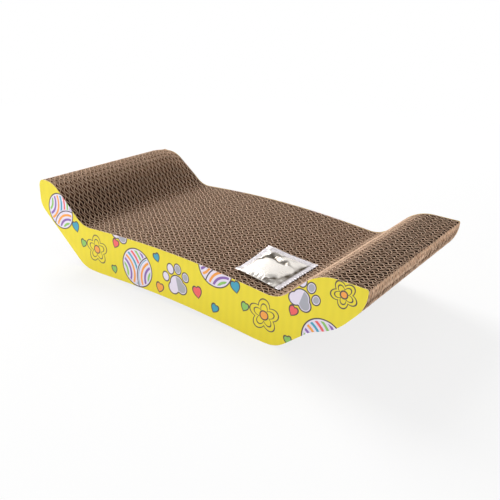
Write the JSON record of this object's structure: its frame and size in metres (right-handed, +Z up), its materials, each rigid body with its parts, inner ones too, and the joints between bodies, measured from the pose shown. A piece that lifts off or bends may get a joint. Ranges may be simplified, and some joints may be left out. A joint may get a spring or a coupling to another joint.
{
  "type": "cat scratcher",
  "caption": "Lounge-shaped corrugated cardboard cat scratcher with a shallow hollow seat, two raised ends, printed side liners and a loose foil sachet of catnip on the seat.",
  "frame": {"origin": "on the floor, midway along the length and across the width", "axes": "+X along the length from the round bolster to the flat-topped end, +Y across the boards away from the side with the sachet, +Z up"},
  "size_m": [0.43, 0.2088, 0.0921],
  "materials": {
    "corrugated_board": "matt",
    "printed_liner": "satin",
    "foil": "crinkled, bright",
    "dried_leaf": "matt"
  },
  "bodies": {
    "lounge": {"board_01": "corrugated_board", "board_02": "corrugated_board", "board_03": "corrugated_board", "board_04": "corrugated_board", "board_05": "corrugated_board", "board_06": "corrugated_board", "board_07": "corrugated_board", "board_08": "corrugated_board", "board_09": "corrugated_board", "board_10": "corrugated_board", "board_11": "corrugated_board", "board_12": "corrugated_board", "board_13": "corrugated_board", "board_14": "corrugated_board", "board_15": "corrugated_board", "board_16": "corrugated_board", "board_17": "corrugated_board", "board_18": "corrugated_board", "board_19": "corrugated_board", "board_20": "corrugated_board", "board_21": "corrugated_board", "board_22": "corrugated_board", "board_23": "corrugated_board", "board_24": "corrugated_board", "board_25": "corrugated_board", "board_26": "corrugated_board", "board_27": "corrugated_board", "board_28": "corrugated_board", "board_29": "corrugated_board", "board_30": "corrugated_board", "board_31": "corrugated_board", "board_32": "corrugated_board", "board_33": "corrugated_board", "print_liner_front": "printed_liner", "print_liner_back": "printed_liner"},
    "sachet": {"sachet_back_foil": "foil", "sachet_front_foil": "foil", "catnip": "dried_leaf"}
  },
  "joints": [
    {"name": "sachet_lift", "type": "slide", "parent": "lounge", "child": "sachet", "axis": [0, 0, 1], "range_m": [0, 0.1]}
  ]
}
